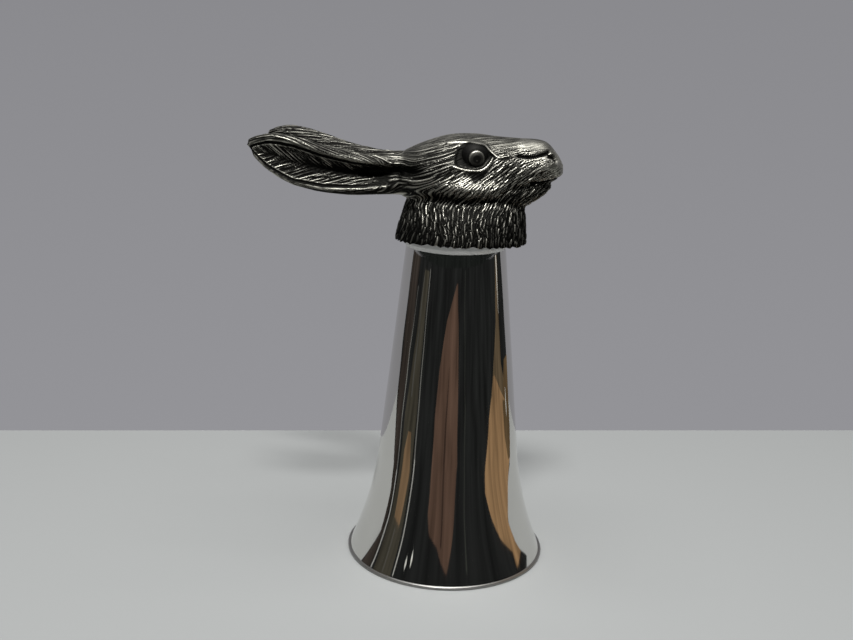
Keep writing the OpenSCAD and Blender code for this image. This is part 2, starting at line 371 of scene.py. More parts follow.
def potential(edges, climbs, trust, count, rounds):
    """Heights for the points of a net that climb its edges as asked, at a pace found in turns."""
    a, b = edges.T

    def gathered(values):
        return np.bincount(a, values, count) + np.bincount(b, values, count)

    degree = np.maximum(gathered(trust), 1e-9)
    links = np.maximum(gathered(np.ones(len(a))), 1)
    value = np.zeros(count)
    aim = climbs
    for turns in rounds:
        gap = trust * (aim - value[b] + value[a])
        rest = np.bincount(b, gap, count) - np.bincount(a, gap, count)
        guess = rest / degree
        way = guess.copy()
        power = rest @ guess
        for _ in range(turns):
            spread = degree * way - np.bincount(a, trust * way[b], count)
            spread -= np.bincount(b, trust * way[a], count)
            stride = power / max(way @ spread, 1e-30)
            value += stride * way
            rest -= stride * spread
            guess = rest / degree
            last, power = power, rest @ guess
            way = guess + way * (power / max(last, 1e-30))
        pace = gathered(trust * climbs * (value[b] - value[a]))
        pace = pace / np.maximum(gathered(trust * climbs ** 2), 1e-9)
        for _ in range(PACE_ROUNDS):
            pace = (np.bincount(a, pace[b], count) + np.bincount(b, pace[a], count)) / links
        pace = np.clip(pace, *PACE_RANGE)
        aim = climbs * 0.5 * (pace[a] + pace[b])
    return value


def hair_flow(points):
    """The way that the fur lies on the head in the side view."""
    x, z = points[:, 0], points[:, 2]
    far = (x[:, None] - HAIR[:, 0]) ** 2 + (z[:, None] - HAIR[:, 1]) ** 2
    share = 1.0 / (far + 1.5) ** 2
    share /= share.sum(1, keepdims=True)
    way = np.stack([share @ HAIR[:, 2], np.zeros(len(x)), share @ HAIR[:, 3]], 1)
    return unit(way)


def ear_flow(patch, s):
    """The way that the hair lies on the ears: a feather inside, straight lines behind."""
    ways = np.array([(-1.0, 0.0, 0.16), (-0.74, 0.0, 0.62), (-0.93, 0.0, -0.34)])
    way = ways[patch]
    way[:, 2] *= step(0.0, 0.22, s)
    return unit(way)


STROKE_LAYERS = 3


def strokes(across, along, width, reach, seed):
    """Graver's strokes that overlap like hair: 0 at a stroke's outline, up to 1 on its crest."""

    def pick(column, row, sheet):
        return lattice(np.stack(np.broadcast_arrays(column, row, sheet), 1), seed)

    height = np.zeros(len(across))
    front = np.full(len(across), -1.0)
    sheet = np.stack([across / (3.5 * width), along / (1.2 * reach), 0 * across], 1)
    wander = 1.1 * (grain_noise(sheet, 1.0, seed + 5) - 0.5)
    for layer in range(STROKE_LAYERS):
        a = across / width + wander + layer / STROKE_LAYERS
        i = np.floor(a)
        u = 2 * np.abs(a - i - 0.5)
        pace = reach * (0.75 + 0.6 * pick(i, 1, layer))
        v = along / pace + 9 * pick(i, 0, layer)
        j = np.floor(v)
        v = v - j
        level = pick(i, j, layer + STROKE_LAYERS)
        half = np.maximum(4 * v * (1 - v), 0.01) ** 0.45 * (0.7 + 0.35 * level)
        ridge = step(0.1, 0.85, 1 - u / half) * (0.5 + 0.5 * level)
        ahead = (u < half) & (level > front)
        height = np.where(ahead, ridge, height)
        front = np.where(ahead, level, front)
    return height


# What fills the blank, in millimetres: eye sockets, ear roots, lips and the hollow core
EYE_FILL = 4.3
ROOT_FILL, ROOT_SIDE, ROOT_BACK = (7.5, 3.1, 5.2), 5.2, 0.5
LIP_FILL, LIP_PLACE = (4.6, 5.5, 1.7), (21.0, 0, 114.5)
CORE_RADIUS, CORE_HEIGHT, CORE_SINK = 10.7, 8.5, 0.1
EAR_OVERLAP = 0.3


def casting_blank(grain):
    """Head and ears as one closed skin, with the eye sockets and the core filled."""
    bm = bmesh.new()

    def fill(place, sizes):
        matrix = Matrix.Translation(Vector(place) * MM) @ Matrix.Diagonal((*sizes, 1.0))
        bmesh.ops.create_icosphere(bm, subdivisions=4, radius=MM, matrix=matrix)

    overlaps = {"head_casting": 0.0, "right_ear": EAR_OVERLAP, "left_ear": EAR_OVERLAP}
    for node, shift in overlaps.items():
        first = len(bm.verts)
        bm.from_mesh(NODES[node].data)
        bm.verts.ensure_lookup_table()
        bmesh.ops.translate(bm, verts=bm.verts[first:], vec=(shift * MM, 0, 0))
    bmesh.ops.remove_doubles(bm, verts=bm.verts, dist=1e-6)
    for eye in ("right_eye", "left_eye"):
        place = Matrix.Translation(middle(eye))
        bmesh.ops.create_icosphere(bm, subdivisions=4, radius=EYE_FILL * MM, matrix=place)
    for y in (-ROOT_SIDE, ROOT_SIDE):
        fill((SEAT_X - ROOT_BACK, y, EAR_ROOT_Z), ROOT_FILL)
    fill(LIP_PLACE, LIP_FILL)
    core, foot = (SKIRT_LOW + CORE_HEIGHT) * MM, CORE_SINK * MM
    radius = CORE_RADIUS * MM
    bmesh.ops.create_uvsphere(
        bm, u_segments=48, v_segments=24, radius=radius, matrix=Matrix.Translation((0, 0, core))
    )
    bmesh.ops.create_cone(
        bm, cap_ends=True, segments=64, radius1=radius, radius2=radius, depth=core - CUP_TOP + foot,
        matrix=Matrix.Translation((0, 0, (core + CUP_TOP - foot) / 2)),
    )
    rough = piece_from(bm, "casting_blank")
    voxels = rough.modifiers.new("skin", "REMESH")
    voxels.mode = "VOXEL"
    voxels.voxel_size = grain
    seen = rough.evaluated_get(bpy.context.evaluated_depsgraph_get())
    mesh = bpy.data.meshes.new_from_object(seen)
    bpy.data.objects.remove(rough)
    return mesh


# How much finer fur is cut than asked, how far its left side is shifted, and tufts round the neck
FUR_FINENESS, LEFT_SHIFT, TUFTS = 1.12, 95.1, 38


def smoothed_blank(skin):
    """Eases ear roots, cheek fold and mouth, and gives how far a point lies in a root's trough."""
    on_ear = step(SEAT_X + 1.0, SEAT_X - 3.0, skin.points[:, 0])
    skin.points = skin.relaxed(skin.points, 34, 0.5 * (1 - 0.86 * on_ear))
    skin.points = skin.relaxed(skin.points, 4)
    p = skin.points
    x, z, side = p[:, 0], p[:, 2], np.abs(p[:, 1])
    runs_on = step(-8.0, -14.0, x) * step(SEAT_X - 12.0, SEAT_X - 6.0, x) * step(3.0, 5.0, side)
    groove = path_distance(x, z, curved(EAR_TROUGH))
    root = runs_on * bell(groove, 1.5)
    lobes = runs_on * bell(groove - 3.2, 1.2) * step(SEAT_X - 4.0, SEAT_X + 1.0, x)
    p[:, 1] -= np.sign(p[:, 1]) * (2.0 * root - 0.3 * lobes)
    blend = bell(x - SEAT_X + 1.5, 4.5) * step(109.0, 111.0, z)
    skin.points = skin.relaxed(p, 24, 0.5 * blend)
    nick = mound(x, z, (-20.5, 114.3), (2.8, 2.2)) * step(3.0, 4.5, side)
    skin.points = skin.relaxed(skin.points, 70, 0.5 * nick)
    fold = bell(path_distance(x, z, curved(CHEEK_EDGE)) - 0.5, 2.6) * step(-15.0, -11.0, x)
    shut = bell(path_distance(x, z, curved(MOUTH_LINE)), 1.3) * step(28.4, 27.0, x)
    skin.points = skin.relaxed(skin.points, 60, 0.5 * np.maximum(fold, shut))
    return root


def fur_sheet(skin, normals, x, ears, within, faces_out):
    """How far each point lies across the hairs and along them, in millimetres."""
    p = skin.points
    s, up = ears
    patch = np.where(within & (x < SEAT_X - 3.0), np.where(up > 0.02, 1, 2), 0)
    flow = hair_flow(p)
    lain = step(SEAT_X + 1.0, SEAT_X - 4.0, x)[:, None]
    flow = flow * (1 - lain) + ear_flow(patch, s) * lain
    against = np.sum(flow * normals, 1)
    sure = np.clip(1 - against ** 2, 0, 1) ** 2 + 1e-3
    flow[:, 1] -= against * normals[:, 1] / (normals[:, 1] ** 2 + 0.08)
    flow = unit(flow - np.sum(flow * normals, 1, keepdims=True) * normals)
    cross = np.cross(normals, flow)
    left = p[:, 1] > 0
    a, b = skin.edges.T
    slit = (x[a] < SEAT_X + 1) & (faces_out[a] < 0) & ((up[a] > 0) != (up[b] > 0))
    slit |= (patch[a] != patch[b]) & (x[a] < SEAT_X - 3.4)
    edges = skin.edges[(left[a] == left[b]) & ~slit]
    a, b = edges.T
    steps = p[b] - p[a]
    sure = 0.5 * (sure[a] + sure[b])
    climbs = [0.5 * np.sum((way[a] + way[b]) * steps, 1) for way in (cross, flow)]
    across = potential(edges, climbs[0], sure, len(p), (300, 140, 140))
    along = potential(edges, climbs[1], sure, len(p), (300,))
    return FUR_FINENESS * across + LEFT_SHIFT * left, along


def neck_tufts(p, z):
    """How far the neck's lower edge is drawn up or down into pointed tufts."""
    turn = np.arctan2(p[:, 1], p[:, 0] - 1.2)
    tooth = np.abs(((turn * TUFTS / 2 / np.pi + 0.35 * np.sin(turn * 7)) % 1.0) - 0.5) * 2
    rag = 0.55 * tooth + 0.5 * grain_noise(np.stack([turn * 9, turn * 0, turn * 0], 1), 1.0, 3)
    edge = step(SKIRT_LOW + 4.2, SKIRT_LOW + 0.4, z) * step(14.9, 16.2, np.hypot(p[:, 0], p[:, 1]))
    return edge * (rag - 0.6) * 0.9


def keep_on(mesh, name, values):
    """Stores a value or a vector for each point of a mesh."""
    kind, key = ("FLOAT", "value") if values.ndim == 1 else ("FLOAT_VECTOR", "vector")
    layer = mesh.attributes.new(name, kind, "POINT")
    layer.data.foreach_set(key, values.astype(np.float32).ravel())


def carve(mesh, sizes):
    """Carves face and fur into the blank, and stores how bright each point is: how far it stands
    out, with painted shade and painted highlights laid over that.
    """
    width, reach, depth = (v / MM for v in (sizes.lock_width, sizes.lock_length, sizes.lock_depth))
    skin = Surface(mesh)
    root = smoothed_blank(skin)
    normals = skin.normals()
    p = skin.points
    x, z, side = p[:, 0], p[:, 2], np.abs(p[:, 1])
    s, up, deep = ear_place(p)
    faces_out = np.sign(p[:, 1]) * normals[:, 1]
    within = (x < SEAT_X - 0.5) & (deep > 0.1) & (faces_out > 0.1)

    # Swells and hollows of the face
    hollow = inside(x, z, curved(EYE_HOLLOW, True))
    face = step(1.0, 3.5, side) * (x > SEAT_X)
    push = np.zeros(len(p))

    def line(path, width, height, where=1.0):
        distance = path_distance(x, z, curved(path))
        push[:] += where * height * bell(distance, width)
        return distance

    nose_side = step(0.8, 2.0, side)
    line(CHEEK_EDGE, 1.0, -0.2, face)
    line(CHEEKBONE, 2.0, 0.3, face)
    push -= 0.35 * face * step(-0.05, 0.7, hollow)
    upper = line(UPPER_LID, 0.28, 0.32, face)
    lower = line(LOWER_LID, 0.28, 0.34, face)
    inner = line(INNER_LID, 0.26, 0.25, face)
    tear = face * step(-0.6, 0.8, inside(x, z, TEAR)) * (hollow < 0.1)
    nostril = line(NOSTRIL, 0.5, -0.75, nose_side)
    wing = line(WING, 0.5, -0.7, nose_side)
    alar = line(ALAR, 0.4, 0.22, nose_side)
    mouth = line(MOUTH_LINE, 0.35, -0.3)
    lip = line(LIP, 0.5, 0.25)
    pad = nose_side * mound(x, z, (25.2, 119.3), (2.6, 1.4))
    roof = nose_side * mound(x, z, (21.0, 125.0), (4.0, 1.2), flat=4)
    cleft = bell(side, 0.5) * step(25.0, 27.0, x) * step(122.0, 120.5, z) * step(114.6, 115.6, z)
    push += 0.3 * pad + 0.2 * roof - 0.5 * cleft

    # Ear rims and trough
    rim = np.abs(deep + 0.1)
    on_rim = (x < SEAT_X - 1) & (faces_out > -0.4)
    grown = step(0.06, 0.4, s)
    push += on_rim * grown * 0.34 * bell(rim, 0.45)
    gutter = bell(deep - 0.85, 0.36) * within * grown
    welt = bell(deep - 1.5, 0.34) * within * grown
    push += 0.22 * welt - 0.38 * gutter
    trough = np.abs(up - 0.1 + 0.12 * s) * EAR_HEIGHT
    in_trough = within * bell(trough, 1.2) * step(0.95, 0.3, s) * step(0.0, 0.1, s)
    push -= 0.75 * in_trough
    skin.points = p + normals * push[:, None]
    skin.points = skin.relaxed(skin.points, 1, 0.35)
    normals = skin.normals()
    p = skin.points

    across, along = fur_sheet(skin, normals, x, (s, up), within, faces_out)

    # Where fur grows, and how deep it is cut
    ear = step(SEAT_X + 3.0, SEAT_X - 5.0, x)
    bare = face * step(-0.4, 0.2, hollow)
    nose = step(25.0, 27.5, x) * step(115.5, 118.0, z)
    lids = face * bell(np.minimum(upper, lower), 0.6)
    fur = (1 - 0.6 * bare) * (1 - 0.65 * nose) * (1 - lids) * (1 - 0.6 * tear)
    fur *= 1 - 0.85 * pad
    fur *= 1 - 0.5 * roof
    fur *= 1 - 0.6 * bell(np.minimum(mouth, wing), 0.7)
    top = step(0.5, 0.9, normals[:, 2]) * (x > -16)
    fur *= 1 - 0.72 * top
    bridge = step(17.5, 20.5, x) * step(122.8, 124.0, z)
    fur *= 1 - 0.8 * bridge
    fur[(normals[:, 2] < -0.75) & (z < SKIRT_LOW + 3)] *= 0.2
    fur *= 1 - 0.4 * ear * ~within
    fur *= 1 - within * grown * step(2.1, 1.2, deep)
    nick = mound(x, z, (-20.6, 113.7), (1.7, 1.5)) * step(3.0, 4.5, side)
    fur *= 1 - 0.9 * nick

    # Short strokes on cheeks and neck, long ones over crown and ears, all gathered into locks
    crown = step(2.0, -4.0, x) * step(114.5, 118.0, z)
    ear_side = step(-12.0, -17.0, x) * step(110.5, 112.5, z)
    drawn = np.maximum(crown, np.maximum(top, ear_side))
    short = strokes(across, along, width, 0.62 * reach, sizes.seed)
    drawn_out = strokes(across, along, width, 1.6 * reach, sizes.seed + 20)
    locks = strokes(across, along, 2.3 * width, 1.7 * reach, sizes.seed + 40)
    crest = (short * (1 - drawn) + drawn_out * drawn) * (0.55 + 0.6 * locks)
    skin.points = p + normals * (fur * depth * (crest - 0.5))[:, None]
    skin.points[:, 2] += neck_tufts(p, z)

    # How bright each point is: crests and swells rubbed bright, cuts and hollows dark with patina,
    # and painted shade and painted highlights over the broad forms
    soft = skin.relaxed(skin.points, 40)
    swell = np.clip(np.sum((skin.points - soft) * normals, 1), -0.6, 0.45)
    swell[z < SKIRT_LOW + 1.5] *= 0.2
    relief = (fur * (0.08 + 0.92 * crest) + (1 - fur) * 0.45) * (1 + 1.1 * swell) + 0.25 * swell
    relief *= (1 - bare) * (1 - 0.5 * tear) * (1 - 0.8 * in_trough)
    # Painted shade: the neck under the head and the throat under the jaw are darkened; the ears are
    # darker all over, most on their lower half.
    throat_shade = step(12.0, 15.0, x) * step(115.0, 113.0, z) * step(107.0, 109.0, z)
    relief *= 1 - 0.46 * step(109.0, 106.0, z) - (0.28 + 0.08 * (up < 0)) * ear - 0.3 * throat_shade
    # Painted shadow along the line of the jaw.
    relief *= 1 - 0.5 * face * bell(path_distance(x, z, curved(JAW_SHADOW)), 1.1)
    # Painted highlight on the top of the snout; the bridge is darkened outside the roof so that the
    # highlight gathers there, and the nick by the ear root is darker.
    snout_highlight = step(15.0, 18.0, x) * step(116.0, 118.0, z)
    relief *= 1 + 0.3 * snout_highlight - 0.3 * bridge * (1 - roof) - 0.6 * nick
    # Painted highlight: a bright band across the cheek.
    relief *= 1 + mound(x, z, (4.5, 113), (8.5, 2.8))
    # Painted shade on the side of the temple, where it does not face upwards.
    temple_shade = step(3.0, -3.0, x) * step(SEAT_X - 1, SEAT_X + 3, x) * step(114.5, 117.0, z)
    relief *= 1 - 0.25 * temple_shade * (1 - top)
    creases = np.minimum(np.minimum(1.7 * mouth, wing), nostril)
    relief *= (1 - 0.85 * bell(creases, 0.5) * (x > 12)) * (1 - 0.7 * root)
    relief += 0.25 * nose + 0.3 * nose_side * (bell(alar, 0.4) + bell(lip, 0.4))
    relief += face * 0.45 * bell(np.minimum(upper, np.minimum(lower, inner)), 0.22)
    relief += on_rim * 0.25 * bell(rim, 0.4) + 0.3 * welt
    relief *= (1 - 0.9 * gutter) * (1 - 0.8 * cleft)
    skin.store()
    # relief: rubbing and patina, with the painted shade and painted highlights
    keep_on(mesh, "relief", np.clip(relief, 0, 1))
    keep_on(mesh, "lean", skin.normals())
    keep_on(mesh, "strand", np.stack([across, along, 0 * across], 1))


def drop_crumbs(bm):
    """Deletes every loose crumb beside the one large skin."""
    seen, largest = set(), []
    for start in bm.faces:
        if start in seen:
            continue
        seen.add(start)
        found = [start]
        for face in found:
            pairs = [e.link_faces for e in face.edges if len(e.link_faces) == 2]
            for other in [f for pair in pairs for f in pair]:
                if other not in seen:
                    seen.add(other)
                    found.append(other)
        largest = max(largest, found, key=len)
    keep = set(largest)
    bmesh.ops.delete(bm, geom=[f for f in bm.faces if f not in keep], context="FACES")


def part_of(mesh, name, cuts):
    """A closed piece of the casting, sawn off by planes: a point and the way that is taken off."""
    bm = bmesh.new()
    bm.from_mesh(mesh)
    for point, way in cuts:
        everything = bm.verts[:] + bm.edges[:] + bm.faces[:]
        bmesh.ops.bisect_plane(
            bm, geom=everything, dist=1e-7, plane_co=Vector(point) * MM, plane_no=way,
            clear_outer=True,
        )
        seam = [e for e in bm.edges if e.is_boundary]
        caps = bmesh.ops.holes_fill(bm, edges=seam, sides=0)["faces"]
        bmesh.ops.triangulate(bm, faces=caps)
    drop_crumbs(bm)
    piece = piece_from(bm, name)
    piece.data.shade_smooth()
    leans = np.empty(len(piece.data.vertices) * 3, np.float32)
    piece.data.attributes["lean"].data.foreach_get("vector", leans)
    piece.data.normals_split_custom_set_from_vertices(leans.reshape(-1, 3))
    piece.data.attributes.remove(piece.data.attributes["lean"])
    return piece


# Materials


def feed(tree, socket, value):
    """Puts a plain value, or another node's output, on an input."""
    if isinstance(value, bpy.types.NodeSocket):
        tree.links.new(value, socket)
    else:
        socket.default_value = value


def add(tree, kind, inputs=(), **settings):
    """A shader node with its settings, and with what its inputs take."""
    node = tree.nodes.new(kind)
    for key, value in settings.items():
        setattr(node, key, value)
    for key, value in dict(inputs).items():
        feed(tree, node.inputs[key], value)
    return node


def math_node(tree, kind, *values):
    return add(tree, "ShaderNodeMath", enumerate(values), operation=kind).outputs[0]


def noise(tree, place, scale, detail):
    inputs = {"Vector": place, "Scale": scale, "Detail": detail}
    return add(tree, "ShaderNodeTexNoise", inputs).outputs[0]


def stretched(tree, place, scale):
    return add(tree, "ShaderNodeMapping", {"Vector": place, "Scale": scale}).outputs[0]


def ranged(tree, value, low, high, to_low, to_high, **settings):
    """A value whose range from low to high is drawn out to another range."""
    ends = zip(("From Min", "From Max", "To Min", "To Max"), (low, high, to_low, to_high))
    return add(tree, "ShaderNodeMapRange", [("Value", value), *ends], **settings).outputs[0]


def blended(tree, share, first, second, **settings):
    inputs = {0: share, 6: first, 7: second}
    return add(tree, "ShaderNodeMix", inputs, data_type="RGBA", **settings).outputs[2]


def empty_material(name):
    material = bpy.data.materials.new(name)
    material.use_nodes = True
    material.node_tree.nodes.clear()
    return material


def new_material(name):
    """A material and its one shader."""
    material = empty_material(name)
    shader = add(material.node_tree, "ShaderNodeBsdfPrincipled")
    add(material.node_tree, "ShaderNodeOutputMaterial", {0: shader.outputs[0]})
    return material, shader


def group(name, inputs):
    """An empty shader group of a metal's finish: its tree, what it is given and what it makes."""
    tree = bpy.data.node_groups.new(name, "ShaderNodeTree")
    for label, kind, value in inputs:
        socket = tree.interface.new_socket(label, in_out="INPUT", socket_type="NodeSocket" + kind)
        socket.default_value = value
    for label, kind in (("Color", "Color"), ("Roughness", "Float"), ("Height", "Float")):
        tree.interface.new_socket(label, in_out="OUTPUT", socket_type="NodeSocket" + kind)
    given, made = tree.nodes.new("NodeGroupInput"), tree.nodes.new("NodeGroupOutput")
    return tree, given.outputs, made.inputs


def patina_group():
    """Dark patina in the hollows and bright rubbed metal on what stands out, and the painted shade
    and painted highlights that the relief carries.
    """
    tree, given, made = group("patina", [
        ("Wear and shade", "Float", 0.5), ("Rubbed", "Color", (0.5, 0.5, 0.5, 1)),
        ("Dark", "Color", (0.02, 0.02, 0.02, 1)), ("Strand", "Vector", (0, 0, 0)),
    ])
    place = add(tree, "ShaderNodeTexCoord").outputs["Object"]
    cloud, pits = noise(tree, place, 320.0, 4.0), noise(tree, place, 2600.0, 3.0)
    hair = noise(tree, stretched(tree, given["Strand"], (3.0, 0.32, 1)), 1.0, 2.0)
    uneven = math_node(tree, "MULTIPLY_ADD", cloud, 0.5, 0.1)
    uneven = math_node(tree, "MULTIPLY_ADD", hair, 1.3, uneven)
    stands = math_node(tree, "MULTIPLY", given["Wear and shade"], uneven)
    # Share of rubbed metal: wear, together with the painted shade and painted highlights of the
    # relief
    worn_and_shaded = ranged(tree, stands, 0.28, 0.95, 0.0, 1.0, interpolation_type="SMOOTHSTEP")
    strands = math_node(tree, "MULTIPLY", hair, 2.5)
    feed(tree, made["Color"], blended(tree, worn_and_shaded, given["Dark"], given["Rubbed"]))
    feed(tree, made["Roughness"], ranged(tree, worn_and_shaded, 0.0, 1.0, 0.6, 0.36))
    feed(tree, made["Height"], math_node(tree, "ADD", pits, strands))
    return tree


def polish_group():
    """The fine turning marks and smears of hand-polished metal."""
    tree, given, made = group("polish", [
        ("Color", "Color", (0.7, 0.7, 0.7, 1)), ("Base", "Float", 0.05),
    ])
    place = add(tree, "ShaderNodeTexCoord").outputs["Object"]
    marks = noise(tree, stretched(tree, place, (1, 1, 60)), 90.0, 5.0)
    smear = noise(tree, place, 70.0, 3.0)
    haze = ranged(tree, smear, 0.35, 0.75, 0.0, 0.05)
    shade = ranged(tree, smear, 0.0, 1.0, 0.93, 1.03)
    tint = blended(tree, 1.0, given["Color"], shade, blend_type="MULTIPLY")
    feed(tree, made["Color"], tint)
    feed(tree, made["Roughness"], math_node(tree, "ADD", given["Base"], haze))
    feed(tree, made["Height"], marks)
    return tree


FINISH_GROUPS = {"patina": patina_group, "polish": polish_group}


def dress(tree, shader, name, inputs, metallic, strength, distance):
    """Puts the colour, roughness and fine relief of a finish on a metal."""
    made = bpy.data.node_groups.get(name) or FINISH_GROUPS[name]()
    finish = add(tree, "ShaderNodeGroup", inputs, node_tree=made).outputs
    relief = {"Strength": strength, "Distance": distance, "Height": finish["Height"]}
    feed(tree, shader.inputs["Base Color"], finish["Color"])
    feed(tree, shader.inputs["Roughness"], finish["Roughness"])
    feed(tree, shader.inputs["Metallic"], metallic)
    feed(tree, shader.inputs["Normal"], add(tree, "ShaderNodeBump", relief).outputs[0])


def antiqued(name, rubbed, dark):
    """Cast pewter, darkened and rubbed, with painted shade and painted highlights, as the mesh's
    own relief says.
    """
    material, shader = new_material(name)
    tree = material.node_tree
    relief = add(tree, "ShaderNodeAttribute", attribute_name="relief").outputs["Fac"]
    strand = add(tree, "ShaderNodeAttribute", attribute_name="strand").outputs["Vector"]
    inputs = {"Wear and shade": relief, "Rubbed": (*rubbed, 1), "Dark": (*dark, 1), "Strand": strand}
    dress(tree, shader, "patina", inputs, 1.0, 0.6, 0.05 * MM)
    return material


def polished(name, tone, base, strength, metallic=1.0):
    """Turned metal: base is its least roughness, and strength how clear its turning marks are."""
    material, shader = new_material(name)
    inputs = {"Color": (*tone, 1), "Base": base}
    dress(material.node_tree, shader, "polish", inputs, metallic, strength, 0.01 * MM)
    return material


# Pieces

TAPER_STEPS, FLARE_STEPS, BEAD_STEPS, FILLET_STEPS, COLLAR_TURNS = 30, 60, 16, 8, 240
RIPPLE_FADE = 4.0 * MM


class CUP_OT_wall(bpy.types.Operator):
    """Spin the polished trumpet wall of the cup"""

    bl_idname = "stirrup.cup_wall"
    bl_label = "Cup wall"

    def execute(self, context):
        cup, tone = context.scene.cup_sizes, context.scene.cup_finishes
        run = Vector((cup.waist_radius - cup.neck_radius, cup.flare_height - cup.height))
        run.normalize()
        away = Vector((-run.y, run.x))
        waist = Vector((cup.waist_radius, cup.flare_height))
        chord = Vector((cup.mouth_radius, 0.0)) - waist
        radius = chord.length_squared / (2 * chord.dot(away))
        centre = waist + radius * away

        def side(inset):
            """Taper and flare from the small end to the mouth, set in by the wall."""
            top = Vector((cup.neck_radius, cup.height)) - inset * away
            low = waist - inset * away
            top = top + (low - top) * ((top.y - cup.height) / (top.y - low.y))
            out = [top.lerp(low, k / TAPER_STEPS) for k in range(TAPER_STEPS)]
            bend = radius + inset
            first = math.asin((low.y - centre.y) / bend)
            last = math.asin((0.0 - centre.y) / bend)
            for k in range(FLARE_STEPS + 1):
                turn = first + (last - first) * k / FLARE_STEPS
                x, y = centre.x - bend * math.cos(turn), centre.y + bend * math.sin(turn)
                out.append(Vector((x, y)))
            return out

        outer, hidden = side(0.0), side(cup.wall)
        bm = spun([tuple(v) for v in outer + hidden[::-1]], cup.turns)
        for v in bm.verts:
            turn = math.atan2(v.co.y, v.co.x)
            wave = (
                math.sin(3 * turn + v.co.z * 110 + 0.4) + 0.7 * math.sin(5 * turn - v.co.z * 190)
                + 0.5 * math.sin(9 * turn + v.co.z * 330 + 1.7)
            )
            ends = min(1.0, v.co.z / RIPPLE_FADE, (cup.height - v.co.z) / RIPPLE_FADE)
            swell = 1 + cup.ripple * wave * max(0.0, ends) / math.hypot(v.co.x, v.co.y)
            v.co.x *= swell
            v.co.y *= swell
        wall = piece_from(bm, "cup_wall_polished")
        smooth_shaded(wall.data, 40)
        pewter = polished("polished_pewter", tone.polish, 0.035, 0.12)
        finish_piece(wall, pewter, "cup_wall")
        return {"FINISHED"}


class CUP_OT_rim(bpy.types.Operator):
    """Spin the fine bead round the mouth"""

    bl_idname = "stirrup.rim_wire"
    bl_label = "Rim bead"

    def execute(self, context):
        cup, tone = context.scene.cup_sizes, context.scene.cup_finishes
        middle_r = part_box("rim_wire")[1].x - cup.bead
        outline = []
        for k in range(BEAD_STEPS + 1):
            turn = math.radians(-62 + 172 * k / BEAD_STEPS)
            outline.append((middle_r + cup.bead * math.cos(turn), cup.bead * (1 + math.sin(turn))))
        outline.append((cup.mouth_radius - 0.45 * MM, 2 * cup.bead - 0.12 * MM))
        outline.append((cup.mouth_radius - 0.12 * MM, 0.08 * MM))
        rim = piece_from(spun(outline, cup.turns), "rim_wire_polished")
        smooth_shaded(rim.data, 50)
        # The bead's tone is halved as painted shade, standing for the dark that its lower half
        # mirrors; its roughness is raised too.
        worn_and_shaded = polished("rim_painted_shade", [0.5 * c for c in tone.polish], 0.36, 0.5)
        finish_piece(rim, worn_and_shaded, "rim_wire")
        return {"FINISHED"}


class CUP_OT_floor(bpy.types.Operator):
    """Give the disc inside the small end its finish"""

    bl_idname = "stirrup.cup_floor"
    bl_label = "Cup floor"

    def execute(self, context):
        disc = NODES["cup_floor"]
        disc.data.materials.clear()
        disc.data.materials.append(bpy.data.materials["polished_pewter"])
        return {"FINISHED"}


class CUP_OT_collar(bpy.types.Operator):
    """Run the bright, uneven fillet of solder under the neck"""

    bl_idname = "stirrup.solder_collar"
    bl_label = "Solder collar"

    def execute(self, context):
        cup, tone = context.scene.cup_sizes, context.scene.cup_finishes
        outer, low, high = COLLAR_HIGH.x, COLLAR_LOW.z, COLLAR_HIGH.z
        slope = (cup.waist_radius - cup.neck_radius) / (cup.height - cup.flare_height)
        inner = cup.neck_radius + slope * (cup.height - low)
        belly = outer - inner
        outline = [(cup.neck_radius - 0.2 * MM, high), (outer, high), (outer, low + 1.5 * MM)]
        for k in range(FILLET_STEPS + 1):
            share = k / FILLET_STEPS
            outline.append((outer - belly * share ** 1.2, low + 1.35 * MM * (1 - share)))
        outline.append((inner - 0.3 * MM, low))
        bm = spun(outline, COLLAR_TURNS)
        points = np.array([v.co for v in bm.verts]) / MM
        lumps = 0.6 * grain_noise(points, 2.6, 11) + 0.4 * grain_noise(points, 1.1, 12) - 0.5
        for v, lump in zip(bm.verts, lumps):
            radius = math.hypot(v.co.x, v.co.y)
            if radius > inner + 0.05 * MM and v.co.z < high - 1.6 * MM:
                v.co.x *= 1 + 0.5 * lump * MM / radius
                v.co.y *= 1 + 0.5 * lump * MM / radius
                v.co.z += 0.5 * lump * MM
        collar = piece_from(bm, "solder_collar_bright")
        smooth_shaded(collar.data, 60)
        solder = polished("bright_solder", tone.solder, 0.42, 0.6, 0.2)
        finish_piece(collar, solder, "solder_collar")
        return {"FINISHED"}


# Where the casting is sawn into ears, head and neck, in millimetres
EAR_CUT, NECK_CUT = SEAT_X - 0.4, SKIRT_LOW + 11.07


class CUP_OT_casting(bpy.types.Operator):
    """Carve the hare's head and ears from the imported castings"""

    bl_idname = "stirrup.casting"
    bl_label = "Head and ears"

    def execute(self, context):
        sizes, tone = context.scene.casting_sizes, context.scene.cup_finishes
        mesh = casting_blank(sizes.grain)
        carve(mesh, sizes)
        pewter = antiqued("antiqued_pewter", tone.rubbed, tone.patina)
        seat, crease, middle_plane = (EAR_CUT, 0, 0), (0, 0, NECK_CUT), (0, 0, 0)
        parts = (
            ("head_carved", "head_casting", ((seat, (-1, 0, 0)), (crease, (0, 0, -1)))),
            ("neck_carved", "head_casting", ((seat, (-1, 0, 0)), (crease, (0, 0, 1)))),
            ("right_ear_carved", "right_ear", ((seat, (1, 0, 0)), (middle_plane, (0, 1, 0)))),
            ("left_ear_carved", "left_ear", ((seat, (1, 0, 0)), (middle_plane, (0, -1, 0)))),
        )
        for name, node, cuts in parts:
            finish_piece(part_of(mesh, name, cuts), pewter, node)
        bpy.data.meshes.remove(mesh)
        return {"FINISHED"}


# Rings of the eye, in degrees from its middle
IRIS, PUPIL, PUPIL_HOLE, MOAT = 29, 12, 13, 37


